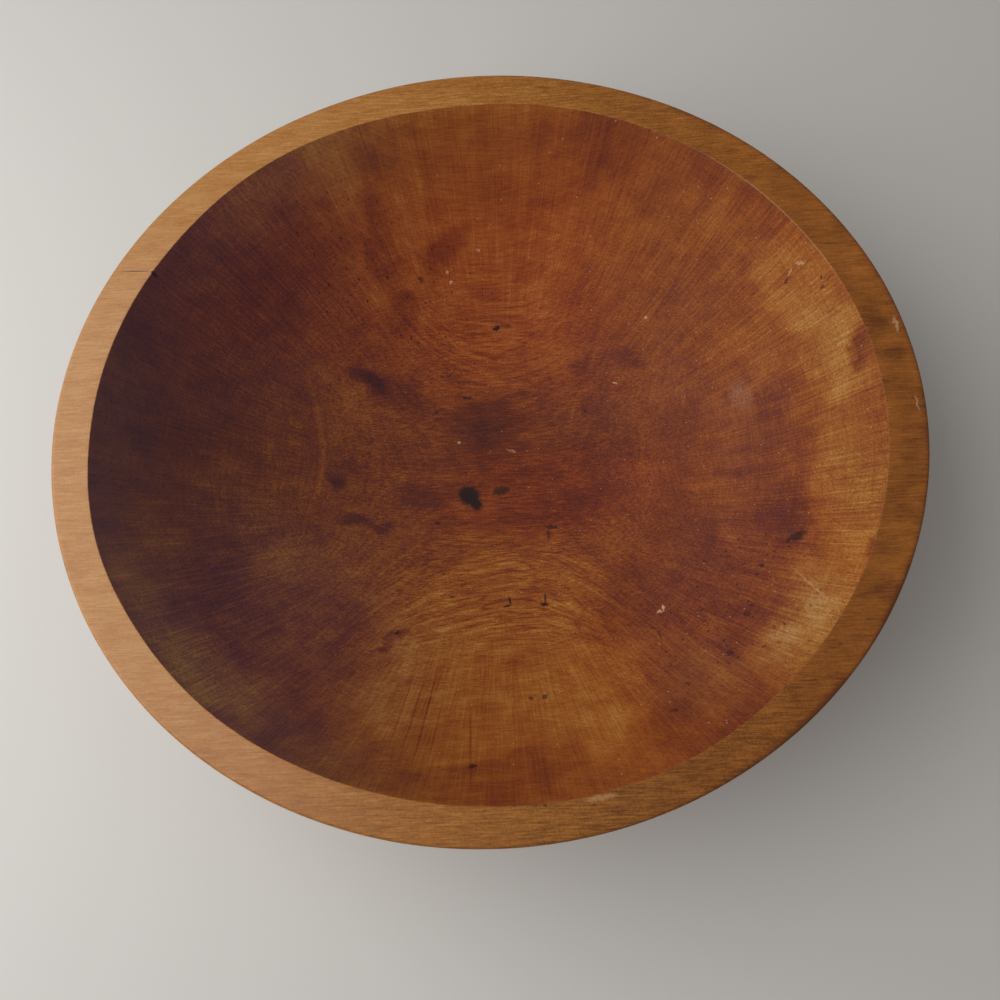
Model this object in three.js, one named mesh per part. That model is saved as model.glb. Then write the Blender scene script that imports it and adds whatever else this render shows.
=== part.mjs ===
// Turned wooden bowl, one solid piece of timber.
//
// The bowl is turned truly round from damp wood, with the grain lying flat. As it dries it shrinks
// across the grain and hardly at all along it, so the finished bowl is a slight oval.
// Millimetres, +Z up, X along the grain. The origin is the middle of the foot, on the table.

import * as THREE from "three";

// Driving dimensions
const LENGTH = 292; // outside, along the grain: the diameter that was turned
const ACROSS_GRAIN_LEFT = 0.923; // share of a width across the grain that is left after drying
const HEIGHT = 84;
const RIM_WIDTH = 13.4; // flat top of the rim, from the outside to the arris
const FLOOR_THICKNESS = 14; // wood left under the deepest point of the hollow
const FOOT_DIAMETER = 92; // flat that the bowl stands on, as turned

// Angles that the curves leave and arrive at, in degrees up from level
const FOOT_RISE = 18; // outside wall where it leaves the foot
const RIM_FLARE = 60; // outside wall where it reaches the rim
const HOLLOW_FLARE = 54; // inside wall where it reaches the arris

// Softened edges
const RIM_EDGE_RADIUS = 1.4; // worn outer edge of the rim
const ARRIS_RADIUS = 0.6; // crisp inner edge of the rim
const FOOT_EDGE_RADIUS = 2.5; // corner between the foot and the wall

// Smoothness of the solid
const SEGMENTS_ROUND = 96;
const WALL_STEPS = 10;
const HOLLOW_STEPS = 16;
const RIM_EDGE_STEPS = 4;
const SMALL_EDGE_STEPS = 3;

const WOOD_COLOR = 0x7a4728;
const WOOD_ROUGHNESS = 0.5;

const radians = THREE.MathUtils.degToRad;
const point = (radius, height) => new THREE.Vector2(radius, height);

// Points of a round edge, turning from one angle to another about its centre.
function roundEdge(centre, radius, fromDegrees, toDegrees, steps) {
  const points = [];
  for (let step = 0; step <= steps; step += 1) {
    const angle = radians(fromDegrees + ((toDegrees - fromDegrees) * step) / steps);
    const across = centre.x + radius * Math.cos(angle);
    points.push(point(across, centre.y + radius * Math.sin(angle)));
  }
  return points;
}

// Point where two straight lines cross, each given by a point and its rise in degrees.
function crossing(lower, lowerRise, upper, upperRise) {
  const lowerSlope = Math.tan(radians(lowerRise));
  const upperSlope = Math.tan(radians(upperRise));
  const lowerAtAxis = lower.y - lowerSlope * lower.x;
  const upperAtAxis = upper.y - upperSlope * upper.x;
  const across = (upperAtAxis - lowerAtAxis) / (lowerSlope - upperSlope);
  return point(across, lowerAtAxis + lowerSlope * across);
}

// Outside of the bowl: the foot's soft corner, one fair curve up the wall, and the rim's worn edge.
function outside() {
  // How much of the flat a round edge takes off, between the table and a wall that rises at FOOT_RISE.
  const footCorner = FOOT_EDGE_RADIUS * Math.tan(radians(FOOT_RISE / 2));
  const footCentre = point(FOOT_DIAMETER / 2 - footCorner, FOOT_EDGE_RADIUS);
  const footEdge = roundEdge(footCentre, FOOT_EDGE_RADIUS, -90, FOOT_RISE - 90, SMALL_EDGE_STEPS);

  const rimCentre = point(LENGTH / 2 - RIM_EDGE_RADIUS, HEIGHT - RIM_EDGE_RADIUS);
  const rimEdge = roundEdge(rimCentre, RIM_EDGE_RADIUS, RIM_FLARE - 90, 90, RIM_EDGE_STEPS);

  const wallStart = footEdge.at(-1);
  const wallEnd = rimEdge[0];
  const wallTurn = crossing(wallStart, FOOT_RISE, wallEnd, RIM_FLARE);
  const wall = new THREE.QuadraticBezierCurve(wallStart, wallTurn, wallEnd).getPoints(WALL_STEPS);
  return [...footEdge, ...wall.slice(1, -1), ...rimEdge];
}

// Inside of the bowl: the arris, then a hollow whose depth follows a power of the radius.
function inside() {
  const hollowMouth = LENGTH / 2 - RIM_WIDTH;
  const arrisCorner = ARRIS_RADIUS * Math.tan(radians(HOLLOW_FLARE / 2));
  const arrisCentre = point(hollowMouth + arrisCorner, HEIGHT - ARRIS_RADIUS);
  const arris = roundEdge(arrisCentre, ARRIS_RADIUS, 90, 90 + HOLLOW_FLARE, SMALL_EDGE_STEPS);

  const top = arris.at(-1);
  const depth = top.y - FLOOR_THICKNESS;
  const fullness = (Math.tan(radians(HOLLOW_FLARE)) * top.x) / depth;
  const hollow = [];
  for (let step = 1; step <= HOLLOW_STEPS; step += 1) {
    const share = 1 - step / HOLLOW_STEPS;
    hollow.push(point(top.x * share, FLOOR_THICKNESS + depth * share ** fullness));
  }
  return [...arris, ...hollow];
}

// The turner's blank spun about the axis, then dried narrower across the grain.
function turnedBowl() {
  const profile = [point(0, 0), ...outside(), ...inside()];
  const geometry = new THREE.LatheGeometry(profile, SEGMENTS_ROUND);
  geometry.rotateX(Math.PI / 2);
  geometry.scale(1, ACROSS_GRAIN_LEFT, 1);
  const wood = new THREE.MeshStandardMaterial({ color: WOOD_COLOR, roughness: WOOD_ROUGHNESS, metalness: 0 });
  const bowl = new THREE.Mesh(geometry, wood);
  bowl.name = "bowl";
  return bowl;
}

const part = new THREE.Group();
part.name = "turned_wooden_bowl";
part.add(turnedBowl());

export default part;
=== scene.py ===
# %% [markdown]
# # A turned wooden bowl
#
# The object is one piece of timber: a shallow bowl, turned round on a lathe and gone slightly oval as
# the wood dried. It has a flat pale rim, a dark stained hollow, and many years of use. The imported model
# gives its size and place. This lesson makes the surface that the eye sees: the worn edges, the growth
# rings, the stain and the marks.

# %% Load the frame
import math

import bpy
import bmesh
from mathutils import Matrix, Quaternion, Vector


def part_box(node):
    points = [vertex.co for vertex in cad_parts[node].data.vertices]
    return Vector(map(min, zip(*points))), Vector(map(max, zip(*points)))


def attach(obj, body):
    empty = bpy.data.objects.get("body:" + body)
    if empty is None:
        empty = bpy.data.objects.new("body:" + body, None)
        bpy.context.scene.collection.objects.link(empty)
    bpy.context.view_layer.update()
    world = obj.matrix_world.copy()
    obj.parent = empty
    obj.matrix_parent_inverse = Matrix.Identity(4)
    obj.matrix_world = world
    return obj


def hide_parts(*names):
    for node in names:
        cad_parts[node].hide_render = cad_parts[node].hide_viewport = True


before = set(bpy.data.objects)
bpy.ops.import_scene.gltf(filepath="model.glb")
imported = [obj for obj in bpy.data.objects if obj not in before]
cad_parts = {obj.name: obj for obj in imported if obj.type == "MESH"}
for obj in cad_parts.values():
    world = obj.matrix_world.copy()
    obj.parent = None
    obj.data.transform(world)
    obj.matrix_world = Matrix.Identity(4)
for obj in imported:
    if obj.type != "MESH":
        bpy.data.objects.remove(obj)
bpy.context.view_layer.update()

MM = 0.001
bowl_low, bowl_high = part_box("bowl")
LENGTH = (bowl_high.x - bowl_low.x) / MM
WIDTH = (bowl_high.y - bowl_low.y) / MM
HEIGHT = (bowl_high.z - bowl_low.z) / MM
print(f"bowl {LENGTH:.1f} x {WIDTH:.1f} x {HEIGHT:.1f} mm")

# %% [markdown]
# ## Wires
#
# A node tree is easier to read as arithmetic than as a list of links. This class wraps one socket, and
# Python's own operators on it add Math nodes, so that `1 - mask` is a node too. Every other node comes
# from its `node` method: the settings go in first, because some of them change which sockets exist.

# %% The wire class


class Wire:
    """A value flowing through a node tree."""

    def __init__(self, tree, socket=None):
        self.tree = tree
        self.socket = socket

    def node(self, kind, settings=None, sockets=None, output=0):
        """Adds a node with its settings, then its sockets, and gives the wire from one of its outputs."""
        made = self.tree.nodes.new(kind)
        for name, value in (settings or {}).items():
            if name == "stops":
                fill_ramp(made.color_ramp, value)
            else:
                setattr(made, name, value)
        for name, value in (sockets or {}).items():
            if isinstance(value, Wire):
                self.tree.links.new(value.socket, made.inputs[name])
            else:
                made.inputs[name].default_value = value
        return Wire(self.tree, made.outputs[output])

    def math(self, operation, first, second=0.0):
        return self.node("ShaderNodeMath", {"operation": operation}, {0: first, 1: second})

    def __add__(self, other):
        return self.math("ADD", self, other)

    def __radd__(self, other):
        return self.math("ADD", other, self)

    def __sub__(self, other):
        return self.math("SUBTRACT", self, other)

    def __rsub__(self, other):
        return self.math("SUBTRACT", other, self)

    def __mul__(self, other):
        return self.math("MULTIPLY", self, other)

    def __rmul__(self, other):
        return self.math("MULTIPLY", other, self)

    def __truediv__(self, other):
        return self.math("DIVIDE", self, other)

    def __rtruediv__(self, other):
        return self.math("DIVIDE", other, self)

    def __mod__(self, other):
        return self.math("FLOORED_MODULO", self, other)

    def root(self):
        return self.math("SQRT", self)

    def floor(self):
        return self.math("FLOOR", self)

    def most(self, other):
        return self.math("MAXIMUM", self, other)

    def size(self):
        return self.math("ABSOLUTE", self)

    def step(self, low, high, smooth=True):
        """0 below low, 1 above high, and a slope between. With low above high it falls instead."""
        way = "SMOOTHSTEP" if smooth else "LINEAR"
        return self.node("ShaderNodeMapRange", {"interpolation_type": way},
                         {"Value": self, "From Min": low, "From Max": high})

    def xyz(self):
        parts = self.node("ShaderNodeSeparateXYZ", None, {0: self}).socket.node
        return [Wire(self.tree, parts.outputs[name]) for name in "XYZ"]

    def vector(self, x, y, z):
        return self.node("ShaderNodeCombineXYZ", None, {0: x, 1: y, 2: z})


def fill_ramp(ramp, stops):
    """Sets a colour ramp's stops, given as pairs of a place and a colour."""
    while len(ramp.elements) < len(stops):
        ramp.elements.new(1.0)
    for element, (place, color) in zip(ramp.elements, stops):
        element.position = place
        element.color = color


print("wires ready")

# %% [markdown]
# ## The turned profile
#
# A turner thinks of a bowl as one line: out along the foot, up the outside, over the rim and down the
# hollow. Spinning that line makes the whole form, so only the line has to be right. Its sizes are the
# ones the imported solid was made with. The points sit close together where the line turns sharply, at the
# rim's worn outer edge and at the arris, which is the crisp edge between the rim and the hollow.

# %% Profile
ACROSS_GRAIN_LEFT = WIDTH / LENGTH
RIM_WIDTH = 13.4
FLOOR_THICKNESS = 14.0
FOOT_DIAMETER = 92.0
FOOT_RISE = 18.0
RIM_FLARE = 60.0
HOLLOW_FLARE = 54.0
RIM_EDGE_RADIUS = 1.4
ARRIS_RADIUS = 0.6
FOOT_EDGE_RADIUS = 2.5
# How many steps each stretch of the line is drawn in.
FOOT_STEPS = 12
FOOT_EDGE_STEPS = 4
WALL_STEPS = 52
RIM_EDGE_STEPS = 8
RIM_STEPS = 14
ARRIS_STEPS = 5
HOLLOW_STEPS = 84


def round_edge(centre, radius, start, end, steps):
    """Points of an arc about a centre, from one angle in degrees to another."""
    angles = [math.radians(start + (end - start) * step / steps) for step in range(steps + 1)]
    return [Vector((centre[0] + radius * math.cos(a), centre[1] + radius * math.sin(a))) for a in angles]


def straight(start, end, steps):
    """Points of a straight line, without its two ends."""
    return [start.lerp(end, step / steps) for step in range(1, steps)]


def fair_curve(start, start_rise, end, end_rise, steps):
    """Points of a curve that leaves and arrives at the given slopes, without its two ends."""
    start_slope = math.tan(math.radians(start_rise))
    end_slope = math.tan(math.radians(end_rise))
    turn_x = (end.y - end_slope * end.x - start.y + start_slope * start.x) / (start_slope - end_slope)
    turn = Vector((turn_x, start.y + start_slope * (turn_x - start.x)))
    shares = [step / steps for step in range(1, steps)]
    return [start.lerp(turn, t).lerp(turn.lerp(end, t), t) for t in shares]


foot_corner = FOOT_EDGE_RADIUS * math.tan(math.radians(FOOT_RISE / 2))
foot_edge = round_edge((FOOT_DIAMETER / 2 - foot_corner, FOOT_EDGE_RADIUS), FOOT_EDGE_RADIUS,
                       -90, FOOT_RISE - 90, FOOT_EDGE_STEPS)
rim_edge = round_edge((LENGTH / 2 - RIM_EDGE_RADIUS, HEIGHT - RIM_EDGE_RADIUS), RIM_EDGE_RADIUS,
                      RIM_FLARE - 90, 90, RIM_EDGE_STEPS)
arris_corner = ARRIS_RADIUS * math.tan(math.radians(HOLLOW_FLARE / 2))
arris = round_edge((LENGTH / 2 - RIM_WIDTH + arris_corner, HEIGHT - ARRIS_RADIUS), ARRIS_RADIUS,
                   90, 90 + HOLLOW_FLARE, ARRIS_STEPS)
hollow_top = arris[-1]
hollow_fullness = math.tan(math.radians(HOLLOW_FLARE)) * hollow_top.x / (hollow_top.y - FLOOR_THICKNESS)


def hollow_height(across):
    """Height of the hollow's surface at a turned radius."""
    return FLOOR_THICKNESS + (hollow_top.y - FLOOR_THICKNESS) * (across / hollow_top.x) ** hollow_fullness


hollow = [hollow_top.x * (1 - step / HOLLOW_STEPS) for step in range(1, HOLLOW_STEPS + 1)]
outside = [Vector((0, 0)), *straight(Vector((0, 0)), foot_edge[0], FOOT_STEPS), *foot_edge,
           *fair_curve(foot_edge[-1], FOOT_RISE, rim_edge[0], RIM_FLARE, WALL_STEPS), *rim_edge,
           *straight(rim_edge[-1], arris[0], RIM_STEPS)]
profile = [*outside, *arris, *[Vector((r, hollow_height(r))) for r in hollow]]

walk = [0.0]
for before, after in zip(profile, profile[1:]):
    walk.append(walk[-1] + (after - before).length)
arris_walk = walk[len(outside) + len(arris) // 2]
print(f"profile of {len(profile)} points, {walk[-1]:.0f} mm long")

# %% [markdown]
# ## Where a point lies in the tree
#
# Wood is a solid pattern, so every colour on the bowl starts from a place in the log. The bowl was cut from
# half a log, hollow side towards the heart: the pith runs along the grain, a little above the rim. A
# point's distance from the pith is the age of its growth ring, and that one number draws arches on the
# bowl's sides, straight lines along the rim and ovals on the floor, with no drawing of any of them.

# %% Places in the log
# The pith's line in millimetres: its place over the middle of the bowl, and how far it drifts along X.
PITH_Y, PITH_Y_DRIFT = 3.9, -0.024
PITH_Z, PITH_Z_DRIFT = 98.5, 0.017


def noise(vector, scale, detail=2.0, rough=0.5):
    """Noise from about 0 to 1 with features of about 1 / scale."""
    return vector.node("ShaderNodeTexNoise", None,
                       {"Vector": vector, "Scale": scale, "Detail": detail, "Roughness": rough})


def vector_math(operation, first, second=None, scale=None, output="Vector"):
    """A Vector Math node."""
    sockets = {0: first}
    if second is not None:
        sockets[1] = second
    if scale is not None:
        sockets["Scale"] = scale
    return first.node("ShaderNodeVectorMath", {"operation": operation}, sockets, output)


class Log:
    """Wires that say where a point lies: on the bowl, in the log and round the lathe's axis."""

    def __init__(self, metres):
        self.place = vector_math("SCALE", metres, scale=1 / MM)
        self.x, self.y, self.z = self.place.xyz()
        self.plan = metres.vector(self.x, self.y, 1.0)

        wander = (noise(self.place, 0.016, 1.0) - 0.5) * 4.0 + (noise(self.place, 0.09, 1.0) - 0.5) * 0.4
        aside = self.y - (self.x * PITH_Y_DRIFT + PITH_Y)
        drop = self.x * PITH_Z_DRIFT + PITH_Z - self.z
        self.age = (aside * aside + drop * drop).root() + wander
        self.turn = metres.math("ARCTAN2", aside, drop)

        round_y = self.y / ACROSS_GRAIN_LEFT
        self.radius = (self.x * self.x + round_y * round_y).root()
        away = self.radius.most(1.0)
        self.spoke = metres.vector(self.x / away, round_y / away, 0.0)


print(f"pith {PITH_Z - HEIGHT:.1f} mm above the rim")

# %% [markdown]
# ## Stain
#
# Oil and food have gone into the hollow for many years, deepest in the heartwood and on one side. A stain
# is a soft spot with a place, two half sizes and a turn. All spots add up to one number, the depth of the
# stain, and a colour ramp will turn that depth into colour: pale where the surface is worn back to bare
# wood, gold, orange, red-brown, and nearly black. The stain changes slowly over the surface, so it is
# worked out once for each point of the mesh and kept there, which leaves less work for the material.

# %% Stain depth
HEART_EDGE = 90.0
PLAIN_DEPTH = 0.52
MOTTLE = 0.30
# Soft spots in the hollow: x, y, half length, half width in millimetres, turn in degrees, added depth.
WASHES = [
    # the dark side
    (-100, -35, 16, 13, 20, 0.03), (-112, 20, 14, 40, 0, 0.03), (-84, 62, 20, 14, 30, 0.08),
    (-56, 28, 13, 18, 0, -0.07), (-76, -36, 12, 9, 20, -0.10), (-90, -79, 24, 10, -44, -0.16),
    (-82, 88, 26, 10, 46, -0.03), (-58, 106, 18, 9, 28, -0.02), (-115, -38, 14, 18, 0, -0.07),
    (-106, -20, 26, 34, 0, -0.08), (-86, -8, 18, 16, 0, -0.06), (-76, -70, 30, 24, -30, 0.03),
    (-52, -103, 36, 12, -18, 0.09), (-50, -64, 14, 20, 25, 0.12), (-70, -62, 14, 12, 0, -0.05),
    (-100, 55, 18, 12, 60, -0.05),
    # the top
    (-38, 90, 9, 26, 8, 0.18), (-35, 69, 13, 8, 20, 0.14), (-15, 86, 12, 6, 10, 0.20),
    (50, 107, 18, 12, -22, 0.13), (38, 72, 5, 18, -14, 0.07), (36, 56, 10, 7, 0, 0.03),
    (72, 84, 34, 22, -38, -0.05), (92, 92, 52, 8, -44, 0.09), (10, 80, 14, 3, 3, 0.06),
    (2, 108, 60, 16, 0, 0.07), (-34, 112, 18, 9, 12, 0.09), (34, 113, 16, 8, -10, 0.06),
    # the floor
    (4, 10, 84, 34, 0, 0.08), (78, -46, 38, 28, 50, 0.03), (-2, 23, 22, 14, 6, 0.15),
    (-28, -5, 10, 4, -10, 0.14), (-53, -16, 9, 4.5, -20, 0.26), (-44, -20, 5, 3, 0, 0.24),
    (-61, 1, 6, 3, 20, 0.28), (-54, 8, 9, 4, 0, 0.14), (-49, 41, 13, 5, -20, 0.24),
    (-38, 37, 18, 9, -14, 0.18), (56, 42, 8, 6, -20, 0.16), (37, 43, 9, 6, 0, 0.14),
    (42, 26, 12, 8, 10, 0.10), (36, -13, 22, 9, 0, 0.12), (4, -18, 40, 6, 0, 0.07),
    (13, -36, 16, 8, 0, -0.06), (-20, 10, 20, 6, 0, 0.06),
    # the bright side
    (80, 12, 20, 26, 0, 0.05), (117, -6, 13, 16, 0, 0.05), (70, -86, 16, 12, 20, -0.06),
    (102, -14, 15, 36, 0, 0.08), (95, -45, 11, 9, 0, 0.09), (70, -26, 20, 15, -30, 0.12),
    (86, -58, 13, 11, -40, 0.06), (78, -12, 24, 11, 0, 0.06), (80, -75, 9, 7, 60, 0.10),
    (60, -86, 15, 20, 15, 0.06), (105, -30, 10, 15, 0, 0.14), (105, 18, 11, 7, 10, 0.12),
    (129.5, 21, 9, 3.2, 78, 0.26), (122, -46.5, 4, 2, 60, 0.24), (54, -102, 12, 12, 0, 0.10),
    (75, -92, 7, 7, 0, 0.05), (112, 51, 24, 11, -54, -0.15), (121, 24, 24, 10, -74, -0.16),
    (98, 75, 15, 8, -44, 0.07), (113, -56, 27, 10, 62, -0.17), (96, -78, 22, 11, 48, -0.22),
    (122, -14, 24, 11, 90, -0.10), (117, -29, 10, 11, 0, -0.06), (92, -69, 11, 7, 50, -0.09),
    (46, -56, 12, 26, -30, 0.11), (33, -61, 13, 8, 0, 0.10), (57, -62, 14, 10, 0, 0.06),
    (76, -44, 14, 10, 0, 0.09),
    # the bottom
    (-39, -67, 6, 2, 42, 0.26), (0, -116, 84, 10, 0, 0.13), (0, -104, 44, 12, 0, 0.05),
    (88, -90, 44, 7, 44, 0.08), (-110, -60, 42, 7, -54, -0.12), (20, -95, 30, 16, 0, -0.04),
]


def soft_spot(plan, x, y, half_long, half_wide, turned, core=0.0):
    """1 in the middle of an oval on the plan, falling to 0 at its edge."""
    cosine, sine = math.cos(math.radians(turned)), math.sin(math.radians(turned))
    along = Vector((cosine, sine, -x * cosine - y * sine)) / half_long
    across = Vector((-sine, cosine, x * sine - y * cosine)) / half_wide
    along = vector_math("DOT_PRODUCT", plan, along, output="Value")
    across = vector_math("DOT_PRODUCT", plan, across, output="Value")
    return (along * along + across * across).step(1.0, core * core)


def wavering(log, amount, scale, detail):
    """The plan with its places pushed about by noise, so that no stain has a drawn edge."""
    sockets = {"Vector": log.place, "Scale": scale, "Detail": detail, "Roughness": 0.6}
    push = log.place.node("ShaderNodeTexNoise", None, sockets, "Color")
    push = vector_math("SUBTRACT", push, (0.5, 0.5, 0.5))
    return vector_math("ADD", log.plan, vector_math("MULTIPLY", push, (amount, amount, 0.0)))


def stain_depth(log):
    """How deep the stain is in the hollow, about 0 to 1."""
    plan = wavering(log, 24.0, 0.05, 4.0)
    drift = plan.xyz()[0]
    side = drift.step(-40.0, -128.0) * 0.22 - drift.step(40.0, 125.0, False) * 0.13
    sapwood = log.age.step(HEART_EDGE - 8.0, HEART_EDGE + 8.0)
    sapwood = sapwood * drift.size().step(70.0, 34.0)
    depth = side - sapwood * 0.20 + PLAIN_DEPTH
    for x, y, half_long, half_wide, turned, added in WASHES:
        depth = depth + soft_spot(plan, x, y, half_long, half_wide, turned) * added
    streaked = vector_math("MULTIPLY", log.place, (0.3, 1.0, 1.0))
    mottle = (noise(log.place, 0.045, 4.0, 0.6) - 0.5) * MOTTLE
    mottle = mottle + (noise(streaked, 0.2, 3.0, 0.6) - 0.5) * MOTTLE
    across, along, _ = vector_math("SCALE", log.spoke, scale=40.0).xyz()
    streaks = noise(log.radius.vector(across, along, log.radius * 0.06), 0.55, 2.0) - 0.5
    streaks = streaks * log.radius.step(45.0, 100.0) * (log.x.step(-70.0, 10.0) * 0.12 + 0.12)
    return depth + mottle + streaks


print(f"{len(WASHES)} washes of stain")

# %% [markdown]
# ## Spinning and drying
#
# Geometry Nodes spin the line: a flat grid has one row for each point of the profile and one column for
# each step round, and each grid point is sent to its place on the bowl. Drying then narrows it across the
# grain. A last move adds what years of use did: the arris wanders, the surface is a little uneven, and
# there are dents. Each point also keeps its distance from the arris along the profile, in millimetres,
# positive over the rim and negative down in the hollow, because the stain stops at that edge.

# %% Dents and worn places
# Dents: x, y, radius and depth in millimetres, in the hollow.
HOLLOW_DENTS = [
    (103.5, -38.5, 3.0, 0.9),
    (106.0, 55.0, 2.2, 0.6),
]
# Places where the arris is worn back: the direction and spread in degrees, and how far in millimetres.
ARRIS_WEAR = [
    (124.0, 11.0, 1.0),
    (195.0, 10.0, 0.9),
    (293.0, 13.0, 1.2),
    (94.0, 7.0, -0.7),
    (248.0, 13.0, -0.6),
    (34.0, 12.0, -0.5),
]
print(f"{len(HOLLOW_DENTS)} dents, {len(ARRIS_WEAR)} worn places on the arris")

# %% Spinning tree
COLUMNS = 448
UNEVENNESS = 0.25
ARRIS_WANDER = 0.4


def keep(geometry, name, value):
    """Stores a number on each point of the mesh."""
    return geometry.node("GeometryNodeStoreNamedAttribute", {"data_type": "FLOAT", "domain": "POINT"},
                         {"Geometry": geometry, "Name": name, "Value": value})


def arris_wander(start, cosine, sine, amount):
    """How far the arris strays from its circle: slow noise round the rim, and the named worn places."""
    wander = (noise(start.vector(cosine, sine, 0.0), 2.2) - 0.5) * amount
    for direction, spread, depth in ARRIS_WEAR:
        middle = math.radians(direction)
        away = start.math("ARCCOSINE", cosine * math.cos(middle) + sine * math.sin(middle))
        wander = wander + away.step(math.radians(2 * spread), 0.0) * (depth * MM)
    return wander


def worn_offset(position, unevenness):
    """How far the surface moves along its normal: slow unevenness, and dents in the hollow."""
    off_table = position.xyz()[2].step(1.0 * MM, 6.0 * MM)
    offset = noise(position, 28.0) * off_table * unevenness * -1.0
    for x, y, size, depth in HOLLOW_DENTS:
        across = math.hypot(x, y / ACROSS_GRAIN_LEFT)
        centre = Vector((x, y, hollow_height(across))) * MM
        away = vector_math("DISTANCE", position, centre, output="Value")
        offset = offset - away.step(size * MM, 0.2 * size * MM) * (depth * MM)
    return offset


def spin_tree():
    """The node tree that turns a profile into a dried and worn bowl."""
    tree = bpy.data.node_groups.new("Turned and dried bowl", "GeometryNodeTree")
    sockets = [("Profile", "NodeSocketGeometry", None), ("Columns", "NodeSocketInt", COLUMNS),
               ("Across Grain Left", "NodeSocketFloat", 1.0), ("Unevenness", "NodeSocketFloat", 0.0),
               ("Arris Wander", "NodeSocketFloat", 0.0), ("Wood", "NodeSocketMaterial", None)]
    for name, kind, value in sockets:
        made = tree.interface.new_socket(name, in_out="INPUT", socket_type=kind)
        if value is not None:
            made.default_value = value
    tree.interface.new_socket("Bowl", in_out="OUTPUT", socket_type="NodeSocketGeometry")
    inputs = tree.nodes.new("NodeGroupInput")
    given = {name: Wire(tree, inputs.outputs[name]) for name, _, _ in sockets}
    start = Wire(tree)

    # A grid with a column for each step round and a row for each point of the profile.
    rows = start.node("GeometryNodeAttributeDomainSize", {"component": "MESH"},
                      {"Geometry": given["Profile"]}, "Point Count")
    grid = start.node("GeometryNodeMeshGrid", None,
                      {"Vertices X": given["Columns"] + 1, "Vertices Y": rows}, "Mesh")
    index = start.node("GeometryNodeInputIndex")
    row = index % rows
    turn = (index / rows).floor() / given["Columns"] * math.tau
    position = start.node("GeometryNodeInputPosition")
    point = start.node("GeometryNodeSampleIndex", {"data_type": "FLOAT_VECTOR"},
                       {"Geometry": given["Profile"], "Value": position, "Index": row})
    stored = start.node("GeometryNodeInputNamedAttribute", {"data_type": "FLOAT"}, {"Name": "from_arris"})
    from_arris = start.node("GeometryNodeSampleIndex", {"data_type": "FLOAT"},
                            {"Geometry": given["Profile"], "Value": stored, "Index": row})
    radius, _, height = point.xyz()
    cosine = start.math("COSINE", turn)
    sine = start.math("SINE", turn)

    wander = arris_wander(start, cosine, sine, given["Arris Wander"])
    near_arris = from_arris.size().step(9.0, 0.0)
    radius = radius + wander * near_arris

    turned = start.vector(radius * cosine, radius * sine * given["Across Grain Left"], height)
    shaped = start.node("GeometryNodeSetPosition", None, {"Geometry": grid, "Position": turned})
    marked = keep(shaped, "from_arris", from_arris)
    closed = start.node("GeometryNodeMergeByDistance", None, {"Geometry": marked, "Distance": 0.002 * MM})

    normal = start.node("GeometryNodeInputNormal")
    push = vector_math("SCALE", normal, scale=worn_offset(position, given["Unevenness"]))
    worn = start.node("GeometryNodeSetPosition", None, {"Geometry": closed, "Offset": push})
    stained = keep(worn, "stain", stain_depth(Log(position)))
    smooth = start.node("GeometryNodeSetShadeSmooth", None, {"Geometry": stained})
    real = start.node("GeometryNodeRealizeInstances", None, {"Geometry": smooth})
    finished = start.node("GeometryNodeSetMaterial", None, {"Geometry": real, "Material": given["Wood"]})
    outputs = tree.nodes.new("NodeGroupOutput")
    tree.links.new(finished.socket, outputs.inputs["Bowl"])
    return tree


# %% [markdown]
# ## Grain, rings and tool lines
#
# Five fine patterns cross on the surface. Growth rings are noise that changes fast with the age of the wood
# and slowly along and round the log. Fibres are noise drawn out along the grain. Lathe lines follow the
# turned radius, the scrapes of a lifetime of spoons run from the middle out to the rim, and grit is plain
# fine noise.

# %% Fine patterns
CLEAR_RING = 71.4


def growth_rings(log):
    """Tone of the rings, about -1 for pale early wood to 1 for the dark line at a year's end."""
    year = log.age.vector(log.x * 0.02, log.turn * 1.6, log.age)
    fine = noise(year, 1.7, 1.0, 0.7) - 0.5
    late = fine.size().step(0.05, 0.0)
    return late * 1.3 + fine * 2.5 - 0.25


def fibres(log):
    """Tone of the fibres along the grain, about -1 to 1."""
    drawn_out = vector_math("MULTIPLY", log.place, (0.07, 1.0, 1.0))
    return (noise(drawn_out, 1.8, 2.0, 0.7) - 0.5) * 4.5


def lathe_lines(log):
    """Tone of the turning tool's lines, about -1 to 1."""
    track = log.radius.vector(log.radius, log.x * 0.04, log.y * 0.04)
    return (noise(track, 1.7, 1.0, 0.6) - 0.5) * 4.0


def scrapes(log):
    """Tone of the fine lines that run out from the middle, about -1 to 1."""
    across, along, _ = vector_math("SCALE", log.spoke, scale=200.0).xyz()
    fan = log.radius.vector(across, along, log.radius * 0.08)
    return (noise(fan, 0.9, 2.0, 0.75) - 0.5) * 4.0


class Grain:
    """The fine patterns at a point of the log."""

    def __init__(self, log):
        self.rings = growth_rings(log)
        self.fibre = fibres(log)
        self.turning = lathe_lines(log)
        self.scraped = scrapes(log)
        self.grit = (noise(log.place, 1.4, 1.0, 0.7) - 0.5) * 3.5


print("patterns: rings, fibres, lathe lines, scrapes, grit")
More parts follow.
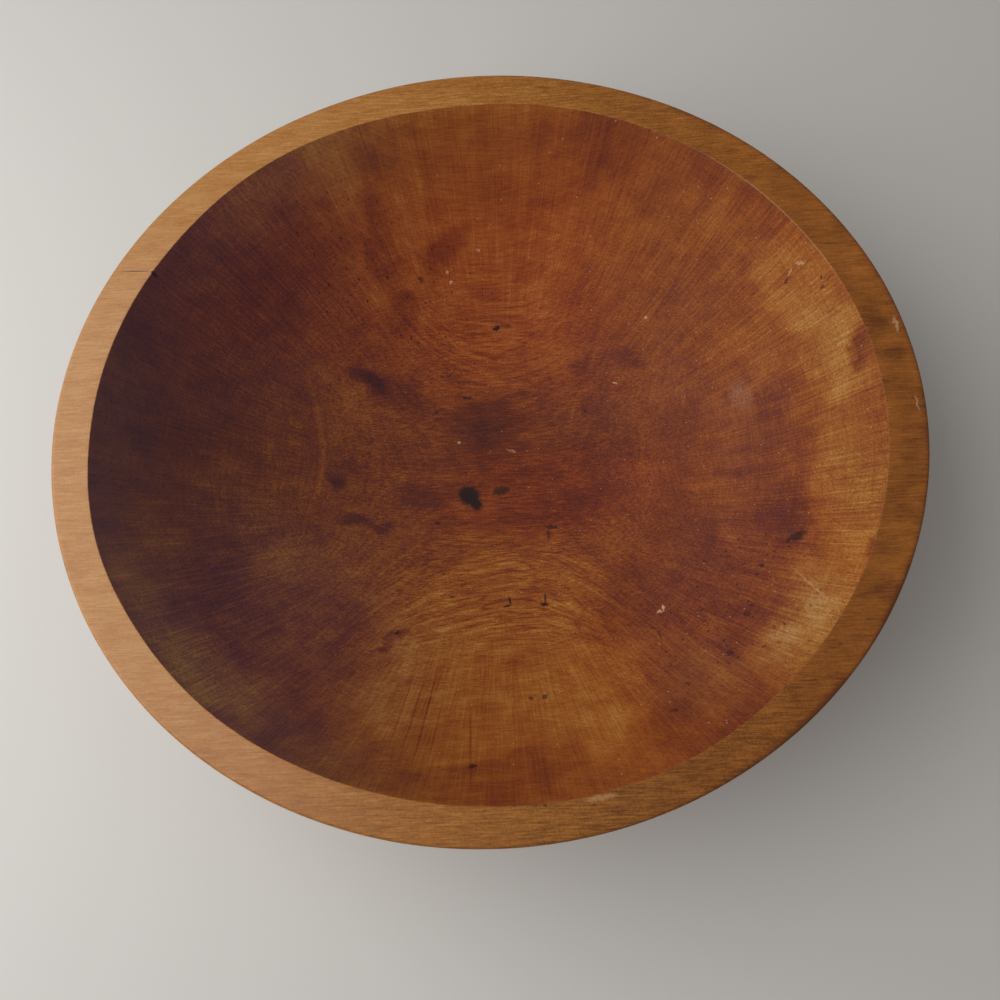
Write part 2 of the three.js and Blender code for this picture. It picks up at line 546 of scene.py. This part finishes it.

# %% [markdown]
# ## Marks of use
# The marks that the eye goes to are few: two black blots on the floor, small burns, hooks and specks, and
# pale flecks where something chipped the surface. Each is again an oval, now with a firm edge. Specks too
# many to place one by one come from a Voronoi texture: each cell has a dot in its middle, and the cell's
# own random colour decides whether that dot is there at all. Tiny pale specks in the middle and on the right
# of the hollow are made the same way, and they are painted glints.

# %% Marks
# Dark marks: x, y, half length, half width in millimetres, turn in degrees, strength.
DARK_MARKS = [
    (-9.8, -6.2, 5.6, 5.0, -40, 1.0), (-7.4, -9.4, 4.2, 2.8, -55, 1.0), (3.2, -4.7, 4.2, 2.5, 8, 0.8),
    (-9.1, 34.3, 2.1, 0.8, 0, 0.8), (-21.9, 28.5, 1.0, 0.8, 0, 0.8), (38.2, 25.6, 1.0, 0.9, 0, 0.8),
    (-22.4, -17.4, 1.2, 0.7, 0, 0.8), (22.0, -21.0, 3.6, 0.8, -8, 0.7), (21.0, -23.5, 0.8, 3.0, 0, 0.6),
    (17.6, -52.4, 1.9, 1.0, 0, 0.9), (-37.2, -61.7, 1.3, 0.9, 0, 0.8), (-17.3, -47.7, 1.2, 0.7, 0, 0.7),
    (11.1, -88.3, 1.2, 0.9, 0, 0.7), (16.0, -88.2, 1.1, 0.9, 0, 0.7), (-8.6, -110.6, 1.8, 0.7, 0, 0.8),
    (4.2, 60.3, 1.7, 1.2, 0, 1.0), (9.0, 60.6, 2.0, 0.8, 10, 0.5), (-24.6, 77.4, 1.4, 1.0, -50, 0.7),
    (105.2, -38.7, 3.1, 1.8, 18, 0.75), (93.5, -47.2, 0.9, 0.8, 0, 0.7), (85.8, -64.1, 1.6, 1.2, 0, 0.55),
    (87.8, -61.5, 1.2, 0.9, 0, 0.55), (77.9, -77.7, 1.6, 1.2, 30, 0.55), (63.1, -86.8, 1.4, 0.8, 0, 0.5),
    (57.0, -95.5, 1.8, 0.9, 20, 0.5), (72.1, -60.7, 1.5, 1.0, 0, 0.4), (109.3, 51.6, 0.5, 1.2, -20, 0.7),
    (118.8, 47.8, 0.6, 0.7, 0, 0.7), (118.8, 44.8, 0.6, 0.9, 0, 0.7), (14.0, -122.6, 0.8, 0.8, 0, 0.7),
    (-114.0, 61.9, 1.1, 0.9, 0, 0.8),
]
# Pale marks, the same way.
PALE_MARKS = [
    (7.7, 11.7, 2.6, 0.5, -25, 0.45), (-13.1, 16.3, 0.6, 0.5, 0, 0.7), (50.5, 34.6, 1.5, 0.5, -25, 0.9),
    (-12.7, 76.8, 1.0, 0.45, 50, 0.9), (-14.0, 80.0, 0.8, 0.4, 60, 0.6), (-1.1, 86.4, 1.3, 0.4, -20, 0.6),
    (60.4, -57.8, 0.6, 1.6, 5, 1.0), (58.8, -59.4, 1.6, 0.5, 5, 0.8), (63.0, 55.5, 0.7, 0.6, 0, 0.8),
    (104.4, -56.2, 10.0, 0.5, -66, 0.3), (112.8, 55.0, 2.2, 0.5, -14, 0.6),
    (110.0, 53.6, 2.0, 0.45, 64, 0.55), (139.9, 26.7, 3.5, 0.8, 100, 0.6),
    (142.5, -1.0, 3.3, 0.4, -85, 0.5), (31.2, -121.1, 6.0, 1.0, 8, 0.3),
]
# Straight strokes, the same way: checks in the rim, cuts and hooks.
STROKES = [
    (-120.0, 62.9, 6.8, 0.28, -3, 0.9), (122.5, 58.2, 6.7, 0.4, -5, 0.45),
    (-15.0, 44.0, 4.2, 0.5, 40, 0.5), (4.7, -50.1, 2.5, 0.6, -78, 0.95), (3.6, -52.2, 2.2, 0.6, 13, 0.95),
    (18.2, -50.0, 0.6, 2.8, -4, 0.85), (57.6, -68.2, 2.5, 0.4, -76, 0.7),
    (55.8, -65.4, 1.8, 0.4, -24, 0.7), (102.7, -39.5, 1.9, 0.5, 43, 0.9),
    (105.5, -38.0, 1.9, 0.5, 6, 0.9), (105.0, -39.9, 1.8, 0.5, -16, 0.9),
]
# Scores that took more stain, the same way.
SCORES = [
    (-25.0, -93.0, 22.0, 0.5, 80.5, 0.18), (-29.0, -92.0, 20.0, 0.4, 79, 0.14),
    (-33.0, -90.0, 18.0, 0.4, 77.5, 0.14), (-21.0, -96.0, 16.0, 0.4, 82, 0.12),
    (-9.5, -102.4, 18.0, 0.5, -87, 0.14),
]


def spots(plan, table, core=0.0):
    """All of a table's marks as one mask."""
    mask = None
    for x, y, half_long, half_wide, turned, strength in table:
        spot = soft_spot(plan, x, y, half_long, half_wide, turned, core) * strength
        mask = spot if mask is None else mask.most(spot)
    return mask


def specks(plan, scale, size, share):
    """Dots strewn about: cells per millimetre, the dot's size in cells, the share of cells that have one."""
    settings = {"voronoi_dimensions": "2D"}
    middle = plan.node("ShaderNodeTexVoronoi", settings, {"Vector": plan, "Scale": scale}, "Distance")
    lot = Wire(middle.tree, middle.socket.node.outputs["Color"]).xyz()[0]
    return middle.step(size, 0.4 * size) * lot.step(1.0 - share, 1.02 - share)


print(f"{len(DARK_MARKS)} dark marks, {len(PALE_MARKS)} pale marks, {len(STROKES) + len(SCORES)} lines")

# %% [markdown]
# ## The wood
#
# One material covers the bowl, as one piece of wood should. The distance from the arris chooses between the
# stained hollow and the paler rim and outside, and the fine patterns run through both. Hands and cloths
# have polished the rim, so it has a thin coat of shine that the hollow lost.

# %% Wood
HOLLOW_COLORS = [
    (0.00, (0.45, 0.235, 0.080, 1.0)),
    (0.16, (0.355, 0.142, 0.028, 1.0)),
    (0.32, (0.275, 0.079, 0.013, 1.0)),
    (0.48, (0.195, 0.045, 0.010, 1.0)),
    (0.62, (0.130, 0.026, 0.010, 1.0)),
    (0.78, (0.085, 0.018, 0.010, 1.0)),
    (1.00, (0.034, 0.012, 0.010, 1.0)),
]
RIM_COLORS = [
    (0.0, (0.46, 0.24, 0.075, 1.0)),
    (0.5, (0.31, 0.115, 0.018, 1.0)),
    (1.0, (0.13, 0.042, 0.008, 1.0)),
]
# Tints that multiply the colour, and the two colours of marks.
# Painted sheen: a bluish grey tint over the left wall of the hollow, which faces away from the window.
LEFT_SHEEN_TINT = (1.08, 1.75, 3.3, 1.0)
# Painted sheen: a grey tint on the left wall just below the arris.
ARRIS_SHEEN_TINT = (1.05, 1.3, 1.4, 1.0)
OLIVE = (1.0, 1.14, 1.25, 1.0)
# Painted sheen: a purple tint in patches on the walls of the hollow.
PURPLE_SHEEN_TINT = (0.93, 1.0, 1.75, 1.0)
REDDENED = (1.0, 0.76, 0.80, 1.0)
RIM_REDDENED = (1.0, 0.89, 0.87, 1.0)
BURNT = (0.022, 0.009, 0.008, 1.0)
# The pale colour of chips and worn places, also used for painted glints and a painted highlight on the
# arris.
BARE_AND_HIGHLIGHT = (0.50, 0.31, 0.17, 1.0)
# Where the tints lie: x, y, half length, half width in millimetres, turn in degrees, strength.
CLEAR_RING_SPOTS = [(0, -48, 66, 28, 0, 1.0), (0, 56, 40, 26, 0, 0.6)]
RED_SPOTS = [(24, -6, 64, 26, 0, 0.75)]
# Where the purple painted sheen lies.
PURPLE_SHEEN_SPOTS = [(80, -58, 56, 34, 56, 0.7), (100, -5, 20, 40, 0, 0.42), (-70, -62, 60, 44, -35, 0.385)]
OLIVE_SPOTS = [
    (98, -74, 30, 15, 52, 1.0), (122, 20, 34, 12, -75, 0.7),
    (126, -26, 14, 40, 10, 1.0), (70, -86, 22, 16, 20, 1.0),
]
DOTTED_SPOTS = [(-35, 70, 60, 42, -20, 1.0), (80, -62, 50, 36, 50, 1.0)]
# Painted shade: dark patches on the rim's outer edge on the lower right.
RIM_EDGE_SHADE = [(127, -62, 15, 6, 62, 1.0), (96, -99, 17, 6, 40, 1.0)]
RIM_SMUDGES = [(132, 29, 9, 6, -70, 1.0), (137.5, 17.5, 5, 4, 0, 0.8), (124.7, -62, 7, 5, 60, 0.9)]
# Shine of the surface.
PLAIN_SHINE = 0.15
HOLLOW_ROUGHNESS = 0.62
COAT_ROUGHNESS = 0.26
BUMP_STRENGTH = 0.9


def mixed(share, first, second, way="MIX"):
    """A colour between two colours, or one multiplied by the other."""
    settings = {"data_type": "RGBA", "blend_type": way}
    return share.node("ShaderNodeMix", settings, {0: share, 6: first, 7: second}, 2)


def hollow_depth(log, stain, grain):
    """Depth of the stain with the fine patterns in it."""
    ring_line = log.age - CLEAR_RING
    ring_side = ring_line.step(1.0, -1.0) * ring_line.step(-26.0, -4.0)
    ring_line = ring_line.size().step(0.9, 0.2)
    ring_line = (ring_side * 0.02 - ring_line * 0.09) * soft_spot(log.plan, -68, 11, 32, 38, 0)
    clear_rings = spots(log.plan, CLEAR_RING_SPOTS)
    wall = log.radius.step(40.0, 100.0)
    clean = log.x.step(-132.0, -90.0) * 0.6 + 0.4
    clean = clean * (log.y.size().step(110.0, 60.0) * 0.45 + 0.55)
    depth = stain + grain.rings * (clear_rings * 0.12 + 0.04) + ring_line + spots(log.plan, SCORES, 0.2)
    depth = depth + (grain.grit * (wall * -0.06 + 0.12) + grain.fibre * (wall * -0.07 + 0.18)) * clean
    depth = depth + (grain.turning * 0.04 + grain.scraped * 0.14) * wall * clean
    return depth + grain.fibre.step(0.8, 1.7) * 0.12


def hollow_color(log, near_plan, from_arris, stain, grain):
    """Colour of the stained hollow, with painted sheen on the left wall and in purple patches."""
    depth = hollow_depth(log, stain, grain)
    color = depth.node("ShaderNodeValToRGB", {"stops": HOLLOW_COLORS}, {"Fac": depth})
    reddened = log.y.step(15.0, 60.0) * log.y.step(128.0, 88.0) * log.x.step(75.0, 25.0)
    color = mixed(reddened.most(spots(log.plan, RED_SPOTS)), color, REDDENED, "MULTIPLY")
    # Painted sheen: purple patches.
    color = mixed(spots(log.plan, PURPLE_SHEEN_SPOTS), color, PURPLE_SHEEN_TINT, "MULTIPLY")
    color = mixed(spots(log.plan, OLIVE_SPOTS), color, OLIVE, "MULTIPLY")
    # Painted sheen: a bluish grey tint over the shaded left wall, weaker in one patch.
    left_sheen = log.x.step(0.0, -115.0) * (soft_spot(log.plan, -62, 8, 60, 34, 0) * -0.35 + 1.0)
    color = mixed(left_sheen, color, LEFT_SHEEN_TINT, "MULTIPLY")
    # Painted sheen: a grey band on the left wall below the arris.
    color = mixed(from_arris.step(-34.0, -3.0) * log.x.step(0.0, -70.0), color, ARRIS_SHEEN_TINT, "MULTIPLY")
    dots = specks(near_plan, 0.27, 0.11, 0.55) * (spots(log.plan, DOTTED_SPOTS) * 0.75 + 0.15)
    pores = specks(log.plan, 0.62, 0.2, 0.5) * 0.3
    return mixed(dots.most(pores), color, BURNT)


def rim_color(log, near_plan, from_arris, grain):
    """Colour of the rim and the outside."""
    drawn_out = vector_math("MULTIPLY", log.place, (0.25, 1.0, 1.0))
    blotches = (noise(drawn_out, 0.25, 3.0, 0.6) - 0.5) * 0.5
    blotches = blotches + (noise(log.place, 0.1, 2.0) - 0.5) * log.x.step(0.0, 110.0) * 0.55
    tone = blotches + log.x.step(-90.0, 110.0) * 0.38 + 0.31
    tone = tone + log.y.step(-60.0, -130.0) * 0.2 + log.y.step(60.0, 125.0) * 0.03

    outer = from_arris.step(10.5, 14.0)
    # Painted shade: the rim's rounded outer edge darker towards the right, with dark patches on the lower
    # right.
    edge_shade = spots(near_plan, RIM_EDGE_SHADE) * from_arris.step(24.0, 15.0)
    tone = tone + outer * (edge_shade * 0.5 + log.x.step(-40.0, 100.0) * 0.15)
    smudge = spots(near_plan, RIM_SMUDGES) * from_arris.step(18.0, 14.0)
    tone = tone + smudge * 0.2 + log.x.step(85.0, 130.0) * log.y.step(20.0, -60.0) * 0.04

    lines = grain.fibre * 0.28 + grain.fibre.step(0.7, 1.6) * 0.12 + grain.grit * 0.16
    clear = log.x.step(-110.0, 30.0) * 0.5 + 0.5 - log.x.step(60.0, 125.0) * 0.4
    tone = tone + grain.rings * 0.05 + lines * clear
    outside = from_arris.step(13.0, 17.0)
    tone = tone + outside * (grain.rings * 0.22 + grain.turning * 0.08 + log.z.step(26.0, 0.0) * 0.25)
    tone = tone - outside * (log.x.step(-60.0, 110.0) * 0.34 + 0.04)
    color = tone.node("ShaderNodeValToRGB", {"stops": RIM_COLORS}, {"Fac": tone})
    return mixed(log.x.step(30.0, 115.0), color, RIM_REDDENED, "MULTIPLY")


def marked(color, log, near_plan, from_arris, grit):
    """The colour with the marks of use on the hollow and the rim, and painted glints in the hollow."""
    upper = from_arris.step(15.5, 13.5)
    dark = spots(near_plan, DARK_MARKS, 0.45).most(spots(log.plan, STROKES, 0.2))
    color = mixed(dark * upper, color, BURNT)
    scuff = soft_spot(near_plan, 94.5, 19, 4.5, 8, 15) * grit.step(-0.9, 1.0) * 0.28
    # Painted glints: tiny pale specks in the middle and on the right of the hollow.
    painted_glints = specks(log.plan, 0.21, 0.06, 0.12) * 0.6 * log.x.step(-70.0, 10.0) * from_arris.step(0.0, -1.0)
    pale = spots(near_plan, PALE_MARKS, 0.3).most(scuff).most(painted_glints)
    return mixed(pale * upper, color, BARE_AND_HIGHLIGHT)


def bowl_wood():
    """The one material: stained in the hollow, paler on the rim and outside."""
    material = bpy.data.materials.new("stained bowl wood")
    material.use_nodes = True
    tree = material.node_tree
    shader = tree.nodes["Principled BSDF"]
    start = Wire(tree)
    log = Log(start.node("ShaderNodeTexCoord", None, None, "Object"))
    from_arris = start.node("ShaderNodeAttribute", {"attribute_name": "from_arris"}, None, "Fac")
    stain = start.node("ShaderNodeAttribute", {"attribute_name": "stain"}, None, "Fac")
    near_plan = wavering(log, 2.0, 0.6, 1.0)
    grain = Grain(log)

    edge = from_arris + (noise(log.place, 0.5, 1.0) - 0.5) * 0.5
    hollow = hollow_color(log, near_plan, from_arris, stain, grain)
    rim = rim_color(log, near_plan, from_arris, grain)
    color = mixed(edge.step(0.1, -0.1), rim, hollow)
    # Pale along the arris: wear on the upper right, and a faint painted highlight all along the right side.
    worn_and_highlit_arris = soft_spot(log.plan, 110, 72, 44, 26, -52) * 0.25 + log.x.step(0.0, 90.0) * 0.03
    color = mixed(edge.size().step(0.4, 0.05) * worn_and_highlit_arris, color, BARE_AND_HIGHLIGHT)
    color = marked(color, log, near_plan, from_arris, grain.grit)
    tree.links.new(color.socket, shader.inputs["Base Color"])

    on_rim = from_arris.step(-0.2, 0.4)
    gloss = (noise(log.place, 0.06, 2.0) - 0.5) * 0.2 + HOLLOW_ROUGHNESS - on_rim * 0.1
    tree.links.new(gloss.socket, shader.inputs["Roughness"])
    shader.inputs["Specular IOR Level"].default_value = PLAIN_SHINE
    shader.inputs["Coat Roughness"].default_value = COAT_ROUGHNESS
    polish = on_rim * (log.x.step(40.0, -100.0) * 0.36 + grain.fibre * -0.06 + 0.10)
    tree.links.new(polish.socket, shader.inputs["Coat Weight"])
    height = grain.fibre * 0.012 + grain.turning * 0.008 + grain.scraped * 0.012
    sockets = {"Strength": BUMP_STRENGTH, "Distance": MM, "Height": height}
    bump = height.node("ShaderNodeBump", None, sockets)
    tree.links.new(bump.socket, shader.inputs["Normal"])
    return material


wood = bowl_wood()
print(f"wood of {len(wood.node_tree.nodes)} nodes")

# %% [markdown]
# ## The finished bowl
#
# A lathe makes a bowl from one line, and so does this cell: the profile becomes a mesh of edges that
# carries its own distance from the arris, and the Geometry Nodes tree spins it. The result is then taken
# off the modifier as a plain mesh, because a library part has to be a mesh that needs nothing else. It
# replaces the plain solid of the frame, which is hidden.

# %% Spin the bowl
mesh = bpy.data.meshes.new("bowl profile")
mesh.from_pydata([(p.x * MM, 0.0, p.y * MM) for p in profile],
                 [(i, i + 1) for i in range(len(profile) - 1)], [])
mesh.attributes.new("from_arris", "FLOAT", "POINT").data.foreach_set("value", [arris_walk - w for w in walk])
bowl = bpy.data.objects.new("turned_bowl", mesh)
bpy.context.scene.collection.objects.link(bowl)
spin = bowl.modifiers.new("Spin", "NODES")
spin.node_group = spin_tree()
settings = {"Columns": COLUMNS, "Across Grain Left": ACROSS_GRAIN_LEFT, "Unevenness": UNEVENNESS * MM,
            "Arris Wander": ARRIS_WANDER * MM, "Wood": wood}
for socket in spin.node_group.interface.items_tree:
    if socket.in_out == "INPUT" and socket.name in settings:
        spin[socket.identifier] = settings[socket.name]
made = bpy.data.meshes.new_from_object(bowl.evaluated_get(bpy.context.evaluated_depsgraph_get()))
bowl.modifiers.clear()
bowl.data = made
made.name = "turned_bowl"
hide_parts("bowl")
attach(bowl, "root")
shell = bmesh.new()
shell.from_mesh(made)
volume = shell.calc_volume(signed=True)
shell.free()
print(f"turned bowl: {len(made.polygons)} faces, {volume * 1e6:.0f} ml of wood")

# %% [markdown]
# ## Floor and light
#
# A plain pale floor catches the shadow. The light is that of a room by day: one large window close on the
# left, which leaves the left wall of the hollow in its own shade and shines on the right one, and a weak
# warm light from all round. One lamp and a plain world are enough, and easy to follow.

# %% Floor
FLOOR_SIZE = 6.0
FLOOR_COLOR = (0.56, 0.545, 0.52, 1.0)
FLOOR_ROUGHNESS = 0.7
half = FLOOR_SIZE / 2
floor_mesh = bpy.data.meshes.new("floor")
floor_corners = [(-half, -half, 0), (half, -half, 0), (half, half, 0), (-half, half, 0)]
floor_mesh.from_pydata(floor_corners, [], [(0, 1, 2, 3)])
floor = bpy.data.objects.new("floor", floor_mesh)
bpy.context.scene.collection.objects.link(floor)
floor_paint = bpy.data.materials.new("pale floor")
floor_paint.use_nodes = True
floor_shader = floor_paint.node_tree.nodes["Principled BSDF"]
floor_shader.inputs["Base Color"].default_value = FLOOR_COLOR
floor_shader.inputs["Roughness"].default_value = FLOOR_ROUGHNESS
floor_mesh.materials.append(floor_paint)
print(f"floor {FLOOR_SIZE:.0f} m square")

# %% Light
WINDOW_PLACE = Vector((-0.46, 0.0, 0.50))
WINDOW_AIM = Vector((0.0, 0.0, 0.05))
WINDOW_SIZE = 0.78
WINDOW_POWER = 5.2
ROOM_COLOR = (1.0, 0.97, 0.93, 1.0)
ROOM_STRENGTH = 0.33
window_light = bpy.data.lights.new("window", "AREA")
window_light.size = WINDOW_SIZE
window_light.energy = WINDOW_POWER
window = bpy.data.objects.new("window", window_light)
window.location = WINDOW_PLACE
window.rotation_mode = "QUATERNION"
window.rotation_quaternion = (WINDOW_AIM - WINDOW_PLACE).to_track_quat("-Z", "Y")
bpy.context.scene.collection.objects.link(window)

room = bpy.data.worlds.new("room")
bpy.context.scene.world = room
room.use_nodes = True
room_light = room.node_tree.nodes["Background"]
room_light.inputs["Color"].default_value = ROOM_COLOR
room_light.inputs["Strength"].default_value = ROOM_STRENGTH
print(f"window {(WINDOW_AIM - WINDOW_PLACE).length:.2f} m away")

# %% [markdown]
# ## Camera
#
# The photograph was taken from close by and from above, so the near side of the rim looks larger than the
# far side. The camera's place, aim and roll are the ones that lay the rim's edges over those in the
# photograph, and the lens is as long as its sensor is wide, which is a usual wide view.

# %% Camera
CAMERA_PLACE = Vector((13.9, -110.4, 398.3)) * MM
CAMERA_AIM = Vector((4.5, -27.1, 84.0)) * MM
CAMERA_ROLL = -9.14
LENS = 36.0
SENSOR = 36.0
lens = bpy.data.cameras.new("camera")
lens.sensor_width = SENSOR
lens.lens = LENS
camera = bpy.data.objects.new("camera", lens)
camera.location = CAMERA_PLACE
camera.rotation_mode = "QUATERNION"
roll = Quaternion((0, 0, 1), math.radians(CAMERA_ROLL))
camera.rotation_quaternion = (CAMERA_AIM - CAMERA_PLACE).to_track_quat("-Z", "Y") @ roll
bpy.context.scene.collection.objects.link(camera)
bpy.context.scene.camera = camera
bpy.context.scene.view_settings.view_transform = "Standard"
print(f"camera {(CAMERA_AIM - CAMERA_PLACE).length / MM:.0f} mm from what it looks at")
